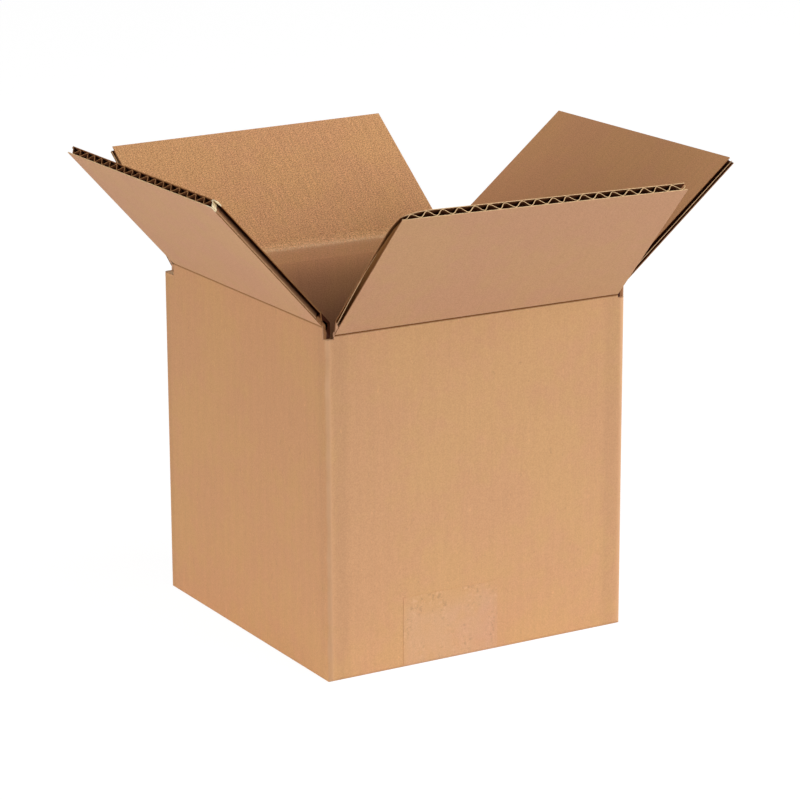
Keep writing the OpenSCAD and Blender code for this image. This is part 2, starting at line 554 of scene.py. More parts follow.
@dataclass(frozen=True)
class CrushedEdge:
    """The cut edge of the crushed board at a score.

    Args:
        name: the material's name.
    """

    name: str

    def material(self) -> bpy.types.Material:
        """Makes the material.

        Returns:
            The material.
        """
        recipe = Recipe(self.name)
        tint = crushed_layers(recipe, recipe.parts(recipe.own("through"))[0])
        return recipe.shade(Base_Color=tint, Roughness=0.95, Specular_IOR_Level=0.1)


@dataclass(frozen=True)
class CreaseLine:
    """The bottom of a crease, seen as a thin darker line of painted shade.

    Args:
        name: the material's name.
        tone: its colour.
    """

    name: str
    tone: Colour

    def material(self) -> bpy.types.Material:
        """Makes the material.

        Returns:
            The material.
        """
        recipe = Recipe(self.name)
        tint = recipe.dye(self.tone, recipe.noise(3, 3) * 0.5 + 1)
        return recipe.shade(Base_Color=tint, Roughness=0.95, Specular_IOR_Level=0.1)


@dataclass(frozen=True)
class FoldedLiner:
    """The inner liner where it bends over a score, with pale specks of rubbed paper and painted highlight
    along the bend.

    Args:
        name: the material's name.
        flap: the paper on the flap's side of the bend.
        rubbed: the colour of those specks.
        rub: how strongly they show.
        lit: painted light that the paper's colour is multiplied by on the wall's side, fading out up the
            flap.
        bend: the height of the bend above the turning line.
        end: the height of the strip's end on the flap.
    """

    name: str
    flap: Kraft
    rubbed: Colour = colour(242, 202, 160)
    rub: float = 0.85
    lit: Colour = (1.17, 1.25, 1.34, 1)
    bend: float = 2
    end: float = 6.3

    def material(self) -> bpy.types.Material:
        """Makes the material.

        Returns:
            The material.
        """
        recipe = Recipe(self.name)
        up = recipe.axes[1]
        on_wall, height = INNER.tint(recipe, ALONG_FLUTES)
        on_flap, _ = self.flap.tint(recipe, ALONG_FLUTES)
        tint = recipe.mix(up.between(self.bend - 0.5, self.bend + 0.5), on_wall, on_flap)
        # Painted light on the wall's side of the bend, fading out up the flap.
        painted_light_share = 1 - up.between(self.bend, self.end)
        tint = recipe.stretch(tint, recipe.mix(painted_light_share, WHITE, self.lit))
        on_bend = recipe.parts(recipe.own("bend"))[0]
        # Pale specks along the bend: rubbed paper and a painted highlight.
        specks = (recipe.noise(0.8, 3) * 3 + 0.5).between(0, 1)
        tint = recipe.mix(on_bend * specks * self.rub, tint, self.rubbed)
        normal = recipe.bump(height, INNER.relief)
        return recipe.shade(Base_Color=tint, Normal=normal, Roughness=0.85, Specular_IOR_Level=0.2)


@dataclass(frozen=True)
class Board:
    """The sizes of the corrugated board and of its scores.

    Args:
        thickness: of the whole board.
        liner: thickness of each liner.
        medium: thickness of the fluted medium.
        pitch: distance from one flute to the next.
        score_gap: from the outer face to the line that a flap turns about.
        crushed: thickness of the crushed board at a score.
        crush_width: width of the crushed band on each side of a score.
        mitre: angle of the crushed edges that meet when a flap is closed.
    """

    thickness: float = 4 * MM
    liner: float = 0.4 * MM
    medium: float = 0.36 * MM
    pitch: float = 7.9 * MM
    score_gap: float = 0.15 * MM
    crushed: float = 1.6 * MM
    crush_width: float = 5 * MM
    mitre: float = math.radians(46)

    @property
    def wave(self) -> float:
        """Travel of the medium's middle, from the outer liner to the inner one."""
        return self.thickness - 2 * self.liner - self.medium

    @property
    def inner_face(self) -> float:
        """Distance from the turning line to the plane of the inner face."""
        return self.score_gap + self.thickness

    def foot(self, depth: float) -> float:
        """How far up the flap its mitred foot is, at a depth behind the turning line."""
        return depth * math.tan(self.mitre)


@dataclass(frozen=True)
class WallPaper:
    """The walls and bottom: outer liner outside, inner liner inside, and pale where the board is cut.

    The places of the walls, slots and scores are given in metres, as in the model.

    Args:
        board: the board's sizes.
        outside: distance from the middle of the box to the outer face of a wall.
        slot: height of the bottom of the corner slots.
        front_score: height of the front wall's score.
        side_score: height of the side walls' scores.
        front_tone: the tint of painted light that the outer paper's colour is multiplied by on the front
            and back.
        side_tone: the tint of painted light that it is multiplied by on the sides.
        inner_tone: what the inner paper's colour is multiplied by.
        fade: how much darker the walls are at the top than at the bottom, as painted shade.
        ridge: the colour of the painted highlight, with rubbed paper, along the upright folds.
        hair: how close to a face still counts as the face, in millimetres.
        near: how close to a height still counts as that height, in millimetres.
    """

    board: Board
    outside: float
    slot: float
    front_score: float
    side_score: float
    front_tone: Colour = (1, 1, 0.95, 1)
    side_tone: Colour = (1, 0.955, 0.87, 1)
    inner_tone: tuple[float, float, float] = (0.98, 1, 1.07)
    fade: float = 0.2
    ridge: Colour = colour(217, 170, 130)
    hair: float = 0.06
    near: float = 0.1

    @property
    def wall(self) -> float:
        """Distance from the middle of the box to the outer face of a wall, in millimetres."""
        return self.outside / MM

    @property
    def thick(self) -> float:
        """The board's thickness, in millimetres."""
        return self.board.thickness / MM

    def _on_sides(self, recipe: Recipe) -> Wire:
        """1 on the outer faces of the side walls, and 0 elsewhere."""
        return recipe.axes[0].size().above(self.wall - 1)

    def _between_faces(self, depth: Wire) -> Wire:
        """1 inside the thickness of a wall, and 0 on its faces and beyond."""
        return depth.above(self.hair) * (1 - depth.above(self.thick - self.hair))

    def _cut_board(self, recipe: Recipe, depth: Wire) -> Wire:
        """Draws the board's cut edge: two liners with the medium winding between them.

        Args:
            recipe: the material that is being made.
            depth: the distance in from the outer face.

        Returns:
            The colour.
        """
        x, y, _ = recipe.axes
        half = self.thick / 2
        liner = self.board.liner / MM
        middle = depth - half
        winding = (x + y).wave(self.board.pitch / MM) * (self.board.wave / MM / 2)
        paper = middle.size().above(half - liner)
        paper = paper.larger(1 - (middle - winding).size().above(liner * 0.8))
        fray = recipe.noise(0.9, 3)
        return recipe.mix(paper, FLUTE_SIDE, recipe.dye(CRUSHED_EDGE, fray * 0.4 + 1))

    def _slotted(self, recipe: Recipe, tint: Wire) -> Wire:
        """Colours the upright cut edges of the corner slots.

        Args:
            recipe: the material that is being made.
            tint: the colour so far.

        Returns:
            The colour with the cut edges.
        """
        x, y, z = recipe.axes
        from_side = self.wall - x.size()
        from_front = self.wall - y.size()
        on_sides = 1 - from_side.above(self.thick - self.hair)
        through = from_side * on_sides + from_front * (1 - on_sides)
        cut = (z - self.slot / MM).above(self.near) * self._between_faces(through)
        # Within the side walls the cut faces get the crushed layers, with their painted shade.
        edge = recipe.mix(on_sides, CRUSHED_EDGE, crushed_layers(recipe, through))
        return recipe.mix(cut, tint, edge)

    def outer_paper(self, recipe: Recipe) -> tuple[Wire, Wire]:
        """Builds the outer liner of the walls and bottom.

        Args:
            recipe: the material that is being made.

        Returns:
            The colour, and a height around 0.5.
        """
        tint, height = OUTER.tint(recipe, UPRIGHT)
        # Painted light: a tint of its own for the light on the front and back, and on the sides.
        on_sides = self._on_sides(recipe)
        tint = recipe.stretch(tint, recipe.mix(on_sides, self.front_tone, self.side_tone))
        # Painted shade: darker towards the top and lighter towards the bottom.
        tone = 1 + self.fade / 2 - recipe.axes[2] * (self.fade / self.wall / 2)
        return recipe.scale(tint, tone), height

    def _inner_paper(self, recipe: Recipe) -> tuple[Wire, Wire]:
        """Builds the inner liner of the walls and bottom, with painted shade that darkens it the further
        down it is and painted light near the top.

        Args:
            recipe: the material that is being made.

        Returns:
            The colour, and a height around 0.5.
        """
        z = recipe.axes[2]
        tint, height = INNER.tint(recipe, UPRIGHT)
        # Painted shade deeper in the box, and painted light near its opening.
        deep = z.between(110, 150) * 0.35
        painted_light_near_top = z.between(144, 166) * 0.5
        tint = recipe.stretch(tint, self.inner_tone)
        return recipe.scale(tint, deep + painted_light_near_top + 0.45), height

    def _creased(self, recipe: Recipe, tint: Wire, faces: Wire, score: float, line: Colour) -> Wire:
        """Draws a line of painted crease shade along the top of some walls.

        Args:
            recipe: the material that is being made.
            tint: the colour so far.
            faces: 1 on the walls that get the line.
            score: the height of their score, in metres.
            line: the colour of the painted shade.

        Returns:
            The colour with the line.
        """
        below = score / MM - recipe.axes[2] + recipe.noise(1.5) * 0.3
        near = 1 - below.between(0.3, 0.75)
        return recipe.mix(near * faces * 0.8, tint, line)

    def _folded(self, recipe: Recipe, tint: Wire, outside: Wire) -> Wire:
        """Draws the upright folds: a pale ridge of painted highlight and rubbed paper, with a soft stripe
        of painted shade on each side.

        Args:
            recipe: the material that is being made.
            tint: the colour so far.
            outside: 1 on the outer faces.

        Returns:
            The colour with the folds.
        """
        x, y, _ = recipe.axes
        wobble = recipe.noise(11, shrink=(0.3, 0.3, 1))
        run = y.size() - x.size() + wobble * 1.6 - 1.3
        ridge = 1 - run.size().between(0.8, 2.4)
        # Soft stripes of painted shade on each side of the fold.
        on_front = run.between(1.6, 4) * (1 - run.between(7, 13))
        side_stripe_shade = (-run).between(2.5, 4.5) * (1 - (-run).between(6, 9))
        tint = recipe.scale(tint, 1 - on_front * 0.06 - side_stripe_shade * 0.05)
        rubbed = ridge * (wobble * 1.4 + 0.65) * outside
        return recipe.mix(rubbed, tint, self.ridge)

    def material(self) -> bpy.types.Material:
        """Makes the material.

        Returns:
            The material for the whole folded sheet.
        """
        recipe = Recipe("carton_board", flat=False)
        x, y, z = recipe.axes
        outer, outer_height = self.outer_paper(recipe)
        inner, inner_height = self._inner_paper(recipe)
        skin = 0.2
        on_front = (-y).above(self.wall - 1)
        depth = self.wall - x.size().larger(y.size())
        outside = (self.thick - skin - depth).above(0)
        outside = outside.larger(1 - z.above(skin))
        tint = recipe.mix(outside, inner, self._folded(recipe, outer, outside))
        ribs = (x + y).wave(self.board.pitch / MM)
        tint = recipe.scale(tint, ribs * 0.006 + 1)
        tint = self._creased(recipe, tint, on_front, self.front_score, FRONT_CREASE_SHADE)
        tint = self._creased(recipe, tint, self._on_sides(recipe), self.side_score, SOFT_CREASE_SHADE)
        on_level = 1 - (z - self.slot / MM).size().above(self.near)
        on_cut = on_level * self._between_faces(depth)
        tint = recipe.mix(on_cut, tint, self._cut_board(recipe, depth))
        tint = self._slotted(recipe, tint)
        height = outer_height * outside + inner_height * (1 - outside) + ribs * 0.35
        normal = recipe.bump(height, OUTER.relief)
        return recipe.shade(Base_Color=tint, Normal=normal, Roughness=0.82, Specular_IOR_Level=0.25)


@dataclass(frozen=True)
class TapeFilm:
    """Clear packing tape pressed onto the board: the paper shows through it, a little milky and with a
    painted sheen.

    Args:
        wall: the paper under the tape.
        milky: what the paper's colour is multiplied by where the film shows: the film's milky haze and a
            painted sheen.
        air: the colour of the trapped air.
        top: the height of its end on the front wall.
        middle: where its middle is across the front wall.
        half: half of its width.
    """

    wall: WallPaper
    milky: Colour = (1.01, 1.04, 1.21, 1)
    air: Colour = colour(233, 190, 150)
    top: float = 34
    middle: float = -15
    half: float = 25.4

    def material(self) -> bpy.types.Material:
        """Makes the material.

        Returns:
            The material.
        """
        recipe = Recipe("tape_film", flat=False)
        paper, height = self.wall.outer_paper(recipe)
        x, _, z = recipe.axes
        blotch = recipe.noise(8)
        trail = recipe.noise(8, 1, (1, 1, 0.35)).between(-0.04, 0.08)
        bead = recipe.noise(1.7)
        air = bead.between(0.06, 0.18) * trail
        dimple = (-bead).between(0.06, 0.18) * trail
        below_end = 1 - (z + recipe.noise(12) * 14).between(self.top - 12, self.top)
        across = (x - self.middle).size() + blotch * 6
        within = 1 - across.between(self.half - 4, self.half)
        film = below_end * (within * 0.5 + 0.5) * (blotch.between(-0.25, 0.1) * 0.5 + 0.5)
        # The film's milky haze and a painted sheen lighten the paper under it.
        tint = recipe.stretch(paper, recipe.mix(film, WHITE, self.milky))
        tint = recipe.mix(air * 0.45, tint, self.air)
        tint = recipe.scale(tint, 1 - dimple * 0.15)
        normal = recipe.bump(height + bead * trail * 1.5, OUTER.relief)
        return recipe.shade(Base_Color=tint, Normal=normal, Roughness=0.74, Specular_IOR_Level=0.25)


@dataclass(frozen=True)
class Papers:
    """The materials of a flap's board and of its score.

    Args:
        outer: of the outer face.
        inner: of the inner face.
        hollow: of the liners' faces that look into the flutes, coloured with painted shade.
        flank: of the medium's faces, coloured with painted shade.
        edge: of the liners' cut edges.
        flute_edge: of the medium's cut edges.
        crushed: of the crushed board along the score.
        line: of the painted crease shade outside.
        fold: of the bend inside.
    """

    outer: bpy.types.Material
    inner: bpy.types.Material
    hollow: bpy.types.Material
    flank: bpy.types.Material
    edge: bpy.types.Material
    flute_edge: bpy.types.Material
    crushed: bpy.types.Material
    line: bpy.types.Material
    fold: bpy.types.Material


def every(_: Vector) -> bool:
    """A test that every point passes."""
    return True


class Bench:
    """The work done on meshes by hand. Each method starts with nothing but its own mesh selected."""

    @staticmethod
    def take(obj: bpy.types.Object) -> None:
        """Makes an object the only one selected, and the active one.

        Args:
            obj: the object.
        """
        bpy.ops.object.select_all(action="DESELECT")
        obj.select_set(True)
        bpy.context.view_layer.objects.active = obj

    @staticmethod
    def sheet(
        name: str, low: Sequence[float], high: Sequence[float], height: float, cells: tuple[int, int]
    ) -> bpy.types.Object:
        """Adds a flat grid that faces +Z.

        Args:
            name: the object's name.
            low: its lowest corner.
            high: its highest corner.
            height: its height.
            cells: how many cells it has each way.

        Returns:
            The sheet.
        """
        bpy.ops.object.select_all(action="DESELECT")
        middle = ((low[0] + high[0]) / 2, (low[1] + high[1]) / 2, height)
        across, up = cells
        bpy.ops.mesh.primitive_grid_add(x_subdivisions=across, y_subdivisions=up, size=1, location=middle)
        made = bpy.context.object
        made.name = name
        made.scale = (high[0] - low[0], high[1] - low[1], 1)
        bpy.ops.object.transform_apply(location=True, rotation=True, scale=True)
        return made

    @staticmethod
    def choose(obj: bpy.types.Object, test: Test) -> None:
        """Goes into edit mode with only the points selected that pass a test.

        Args:
            obj: the mesh.
            test: what a point has to pass.
        """
        Bench.take(obj)
        bpy.ops.object.mode_set(mode="EDIT")
        bpy.ops.mesh.select_mode(type="VERT")
        bpy.ops.mesh.select_all(action="DESELECT")
        bpy.ops.object.mode_set(mode="OBJECT")
        for vertex in obj.data.vertices:
            vertex.select = test(vertex.co)
        bpy.ops.object.mode_set(mode="EDIT")

    @staticmethod
    def done() -> None:
        """Leaves edit mode."""
        bpy.ops.object.mode_set(mode="OBJECT")

    @staticmethod
    def shift(obj: bpy.types.Object, test: Test, by: Sequence[float]) -> None:
        """Moves the points that pass a test.

        Args:
            obj: the mesh.
            test: what a point has to pass.
            by: the move.
        """
        Bench.choose(obj, test)
        bpy.ops.transform.translate(value=by)
        Bench.done()

    @staticmethod
    def extend(obj: bpy.types.Object, test: Test, steps: Sequence[Sequence[float]]) -> None:
        """Extrudes what passes a test, once for each step.

        Args:
            obj: the mesh.
            test: what a point has to pass.
            steps: how far each step goes.
        """
        Bench.choose(obj, test)
        for step in steps:
            bpy.ops.mesh.extrude_region_move(TRANSFORM_OT_translate={"value": step})
        Bench.done()

    @staticmethod
    def press(obj: bpy.types.Object, way: str, amount: float, weight: Weight) -> None:
        """Moves each point along an axis by its own share of an amount.

        Args:
            obj: the mesh.
            way: the axis, X, Y or Z.
            amount: the longest move.
            weight: the share of each point, from 0 to 1.
        """
        Bench.take(obj)
        group = obj.vertex_groups.new(name="press")
        for vertex in obj.data.vertices:
            group.add([vertex.index], weight(vertex.co), "REPLACE")
        push = obj.modifiers.new("press", "DISPLACE")
        push.direction = way
        push.strength = amount
        push.mid_level = 0
        push.vertex_group = group.name
        bpy.ops.object.modifier_apply(modifier=push.name)
        obj.vertex_groups.remove(obj.vertex_groups["press"])

    @staticmethod
    def trim(obj: bpy.types.Object, at: Sequence[float], away: Sequence[float]) -> None:
        """Cuts off what lies past a plane.

        Args:
            obj: the mesh.
            at: a point of the plane.
            away: the direction of the waste.
        """
        Bench.choose(obj, every)
        bpy.ops.mesh.bisect(plane_co=at, plane_no=away, clear_outer=True)
        Bench.done()

    @staticmethod
    def face(obj: bpy.types.Object, way: Vector) -> None:
        """Turns a sheet over if it faces away from a direction.

        Args:
            obj: the sheet.
            way: the direction.
        """
        facing = sum((face.normal * face.area for face in obj.data.polygons), Vector())
        if facing.dot(way) < 0:
            Bench.choose(obj, every)
            bpy.ops.mesh.flip_normals()
            Bench.done()

    @staticmethod
    def thicken(
        obj: bpy.types.Object, thickness: float, offset: float, papers: Sequence[bpy.types.Material]
    ) -> None:
        """Gives a sheet its thickness, and its materials to its two sides and its rim.

        Args:
            obj: the sheet.
            thickness: the thickness.
            offset: -1 to grow against the normal, 0 to grow both ways.
            papers: the materials of the near side, the far side and the rim.
        """
        Bench.take(obj)
        for paper in papers:
            obj.data.materials.append(paper)
        wall = obj.modifiers.new("wall", "SOLIDIFY")
        wall.thickness = thickness
        wall.offset = offset
        wall.use_even_offset = True
        wall.material_offset = 1
        wall.material_offset_rim = 2
        bpy.ops.object.modifier_apply(modifier=wall.name)

    @staticmethod
    def store(obj: bpy.types.Object, name: str, mark: Mark) -> None:
        """Gives each point of a mesh a vector that its materials read.

        Args:
            obj: the mesh.
            name: the vector's name.
            mark: gives the vector of a point.
        """
        stored = obj.data.attributes.new(name, "FLOAT_VECTOR", "POINT").data
        for vertex in obj.data.vertices:
            stored[vertex.index].vector = mark(vertex.co)

    @staticmethod
    def join(parts: Sequence[bpy.types.Object], name: str) -> bpy.types.Object:
        """Joins objects into one.

        Args:
            parts: the objects.
            name: the name of the whole.

        Returns:
            The whole.
        """
        bpy.ops.object.select_all(action="DESELECT")
        for part in parts:
            part.select_set(True)
        bpy.context.view_layer.objects.active = parts[0]
        bpy.ops.object.join()
        made = bpy.context.object
        made.name = name
        return made

    @staticmethod
    def settle(obj: bpy.types.Object, place: Matrix) -> None:
        """Moves a finished mesh to its place and leaves its object at the origin.

        Args:
            obj: the mesh.
            place: its place.
        """
        Bench.take(obj)
        obj.matrix_world = place
        bpy.ops.object.transform_apply(location=True, rotation=True, scale=True)

    @staticmethod
    def smooth(obj: bpy.types.Object, degrees: float) -> None:
        """Shades a mesh smooth, apart from edges sharper than an angle."""
        Bench.take(obj)
        bpy.ops.object.shade_smooth_by_angle(angle=math.radians(degrees))


@dataclass
class Hinge:
    """Where one flap turns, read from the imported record.

    Args:
        side: the wall that carries the flap.
    """

    side: Side

    def __post_init__(self) -> None:
        """Finds the flap's joint and works out its tilt from its closed limit."""
        joint = next(row for row in frame["joints"] if row["child"] == self.body)
        closed = 90
        self.at = Vector(joint["pos_m"])
        self.tilt = math.radians(-joint["range_deg"][0] - closed)

    @property
    def body(self) -> str:
        """The name of the flap's body."""
        return f"{self.side.label}_flap"

    @property
    def node(self) -> str:
        """The name of the flap's node."""
        return f"flap_{self.side.label}"

    @property
    def way(self) -> Vector:
        """The direction half way between up the wall and up the flap."""
        half = self.tilt / 2
        return self.side.outward * math.sin(half) + UP * math.cos(half)

    def placing(self, tilt: float) -> Matrix:
        """Finds the place of a flap drawn flat: X along the score, Y up the flap and Z outward.

        Args:
            tilt: the tilt outward from upright.

        Returns:
            The matrix from the flat drawing to the model.
        """
        along = self.side.along
        up_flap = self.side.outward * math.sin(tilt) + UP * math.cos(tilt)
        turn = Matrix((along, up_flap, along.cross(up_flap))).transposed().to_4x4()
        return Matrix.Translation(self.at) @ turn


@dataclass
class Flap:
    """One top flap, built from the layers of its board.

    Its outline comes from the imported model. root and tip hold its left and right ends at the foot and
    at the tip, and knock is where a knocked tip corner starts, if it has one.

    Args:
        hinge: where the flap turns.
        board: the board's sizes.
        papers: the board's materials.
        seed: start of the flutes' small irregularities.
        phase: how far the flutes are shifted along the flap, in flutes.
        droop: how far the tip's left corner, as seen from outside, has bent inward.
        pinch: how far that corner's inner liner has been pressed down.
    """

    hinge: Hinge
    board: Board
    papers: Papers
    seed: int
    phase: float = 0
    droop: float = 0
    pinch: float = 0
    root: tuple[float, float] = field(init=False)
    tip: tuple[float, float] = field(init=False)
    length: float = field(init=False)
    knock: tuple[float, float] | None = field(init=False, default=None)

    def __post_init__(self) -> None:
        """Reads the flap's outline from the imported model."""
        back = self.hinge.placing(self.hinge.tilt).inverted()
        drawn = [back @ vertex.co for vertex in frame["nodes"][self.hinge.node].data.vertices]
        near = 0.02 * MM
        self.length = max(point.y for point in drawn)
        foot = [point.x for point in drawn if point.y < self.board.crush_width]
        edge = [point.x for point in drawn if point.y > self.length - near]
        self.root = (min(foot), max(foot))
        self.tip = (min(edge), max(edge))
        upper = [point for point in drawn if self.length / 2 < point.y < self.length - near]
        past_tip = [point for point in upper if point.x > self.tip[1] + near]
        if past_tip:
            corner = min(past_tip, key=lambda point: point.y)
            self.knock = (corner.x, corner.y)

    @property
    def side(self) -> Side:
        """The wall that carries the flap."""
        return self.hinge.side

    def on_paper(self, point: Vector) -> Vector:
        """A flat point's place in millimetres, on a stretch of paper that is this flap's own."""
        return point / MM + Vector((STRETCH_MM * self.seed, 0, 0))

    def _sides(self, height: float) -> tuple[float, float]:
        """Finds the flap's left and right cut edges.

        Args:
            height: how far up the flap they are wanted.

        Returns:
            Where the two edges are along the score.
        """
        share = height / self.length
        right = self.knock[0] if self.knock else self.tip[1]
        left = self.root[0] + (self.tip[0] - self.root[0]) * share
        return left, self.root[1] + (right - self.root[1]) * share

    def _sheet(
        self, name: str, start: float, end: float, depth: float, cells: tuple[int, int]
    ) -> bpy.types.Object:
        """Adds a sheet that reaches a little past the flap's sides.

        Args:
            name: the sheet's name.
            start: where it starts, up from the turning line.
            end: where it ends.
            depth: how far it is behind the turning line.
            cells: how many cells it has along the score and up the flap.

        Returns:
            The sheet.
        """
        low = (self.root[0] - MM, start)
        high = (self.root[1] + MM, end)
        return Bench.sheet(name, low, high, -depth, cells)

    def _cut_out(self, layer: bpy.types.Object, inset: float) -> None:
        """Trims a layer to the flap's sides.

        Args:
            layer: the layer, before it has its thickness.
            inset: how far the layer stays back from the cut edge.
        """
        foot = self._sides(0)
        top = self._sides(self.length)
        for end, way in ((0, -1), (1, 1)):
            lean = (top[end] - foot[end]) / self.length
            Bench.trim(layer, (foot[end] - way * inset, 0, 0), (way, -way * lean, 0))
        if self.knock:
            run = Vector((self.tip[1] - self.knock[0], self.length - self.knock[1]))
            Bench.trim(layer, (self.knock[0] - inset, self.knock[1], 0), (run.y, -run.x, 0))

    def _outer_liner(self) -> bpy.types.Object:
        """Makes the liner that faces outward, from its mitred foot to the tip.

        Returns:
            The liner, still flat.
        """
        board = self.board
        papers = (self.papers.outer, self.papers.hollow, self.papers.edge)
        foot = board.foot(board.score_gap)
        layer = self._sheet("outer_liner", foot, self.length, board.score_gap, LINER_CELLS)
        self._cut_out(layer, inset=0)
        Bench.thicken(layer, board.liner, -1, papers)
        back = -board.score_gap - board.liner / 2
        rise = board.foot(board.liner)
        Bench.shift(layer, lambda point: point.z < back and point.y < foot + rise / 2, (0, rise, 0))
        return layer

    def _inner_liner(self) -> bpy.types.Object:
        """Makes the liner that faces inward, pressed down towards the other along the crushed band.

        Returns:
            The liner, still flat above the band.
        """
        board = self.board
        papers = (self.papers.inner, self.papers.hollow, self.papers.edge)
        start = board.crush_width
        near = 0.01 * MM
        layer = self._sheet("inner_liner", start, self.length, board.inner_face, LINER_CELLS)
        pressed = board.score_gap + board.crushed
        fall = (0, board.foot(pressed) - start, board.inner_face - pressed)
        Bench.extend(layer, lambda point: point.y < start + near, [fall])
        Bench.face(layer, -UP)
        self._cut_out(layer, inset=0)
        Bench.thicken(layer, board.liner, -1, papers)
        return layer

    def _medium(self) -> bpy.types.Object:
        """Makes the fluted medium between the liners, from the crushed band to the tip.

        Returns:
            The medium.
        """
        board = self.board
        steps = 8
        rows = 18
        inset = 0.2 * MM
        slack = 1.1 * MM
        lowest = 0.07
        flutes = math.ceil((self.root[1] - self.root[0]) / board.pitch) + 2
        first = math.floor(self.root[0] / board.pitch) - 1
        low = (first * board.pitch, board.crush_width)
        high = ((first + flutes) * board.pitch, self.length)
        deepest = -board.inner_face + board.liner + board.medium / 2
        layer = Bench.sheet("medium", low, high, deepest, (flutes * steps, rows))
        chance = random.Random(self.seed)
        lean = [chance.uniform(-1, 1) for _ in range(flutes + 2)]
        squat = [lowest * chance.uniform(0, 1) ** 2 for _ in range(flutes + 2)]

        def turn(point: Vector) -> tuple[int, float]:
            """The number of the flute that a point is in, and how far through it the point is."""
            place = point.x / board.pitch - first + 0.5 + self.phase
            return math.floor(place), place % 1

        def lift(point: Vector) -> float:
            """How far the medium lifts off the inner liner, from 0 there to 1 at the outer one."""
            flute, through = turn(point)
            return 1 - (0.5 - 0.5 * math.cos(2 * math.pi * through)) * (1 - squat[flute])

        def sway(point: Vector) -> float:
            """How far a flute leans to one side, from 0 to 1."""
            flute, through = turn(point)
            return 0.5 + 0.5 * lean[flute] * math.sin(math.pi * through) ** 2

        Bench.press(layer, "Z", board.wave, lift)
        Bench.press(layer, "X", slack, sway)
        Bench.press(layer, "X", -slack / 2, lambda point: 1)
        self._cut_out(layer, inset)
        papers = (self.papers.flank, self.papers.flank, self.papers.flute_edge)
        Bench.thicken(layer, board.medium, 0, papers)
        return layer

    def _crushed_band(self) -> bpy.types.Object:
        """Makes the medium that is crushed solid between the liners along the score.

        Returns:
            The band.
        """
        board = self.board
        inset = 0.1 * MM
        top = board.score_gap + board.liner
        under = board.score_gap + board.crushed - board.liner
        band = self._sheet("crushed_band", board.foot(top), board.crush_width, top, (1, 1))
        self._cut_out(band, inset)
        Bench.extend(band, every, [(0, 0, top - under)])
        middle = -(top + under) / 2
        half_way = board.crush_width / 2
        rise = board.foot(under - top)
        deep = board.inner_face - board.liner - under
        Bench.shift(band, lambda point: point.z < middle and point.y > half_way, (0, 0, -deep))
        Bench.shift(band, lambda point: point.z < middle and point.y < half_way, (0, rise, 0))
        Bench.choose(band, every)
        bpy.ops.mesh.normals_make_consistent(inside=False)
        Bench.done()
        band.data.materials.append(self.papers.crushed)
        return band

    def _cuts(self, point: Vector) -> Vector:
        """Measures how far a point is from the cut edges.

        Args:
            point: a point of the flap, still flat.

        Returns:
            The distances to the nearest cut edge and to the tip, and how much nearer than CORNER_MM the
            point is to the torn corner of a knocked tip, in millimetres.
        """
        left, right = self._sides(point.y)
        below_tip = max(0, self.length - point.y)
        depth = max(0, min(point.x - left, right - point.x, below_tip))
        away = math.hypot(point.x - self.tip[1], below_tip)
        nearness = max(0, CORNER_MM * MM - away) if self.knock else 0
        return Vector((depth, below_tip, nearness)) / MM

    def _wear(self, flap: bpy.types.Object) -> None:
        """Bends the flap and presses its tip corner together.

        Args:
            flap: the flap, still flat.
        """
        left, right = self.root
        corner = Vector((self.tip[0], self.length))
        reach = 16 * MM

        def pinched(point: Vector) -> float:
            """The share of the pinch at a point: the inner liner gives way most."""
            away = math.hypot(point.x - corner.x, point.y - corner.y)
            return max(0, 1 - away / reach) ** 2 * min(1, -point.z / self.board.inner_face)

        def bent(point: Vector) -> float:
            """The share of the bend at a point: most at the left corner of the tip."""
            across = min(1, max(0, (right - point.x) / (right - left)))
            return across * max(0, point.y) / self.length

        if self.pinch:
            Bench.press(flap, "Z", self.pinch, pinched)
        if self.droop:
            Bench.press(flap, "Z", -self.droop, bent)

    def build(self) -> bpy.types.Object:
        """Builds the flap and puts it on its body.

        Returns:
            The finished piece.
        """
        layers = [self._outer_liner(), self._inner_liner(), self._medium(), self._crushed_band()]
        flap = Bench.join(layers, f"{self.side.label}_flap_board")
        Bench.store(flap, "board", self.on_paper)
        Bench.store(flap, "cut", self._cuts)
        Bench.store(flap, "through", lambda point: (-point.z / MM, 0, 0))
        self._wear(flap)
        Bench.smooth(flap, degrees=50)
        Bench.settle(flap, self.hinge.placing(self.hinge.tilt))
        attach(flap, self.hinge.body)
        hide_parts(self.hinge.node)
        return flap


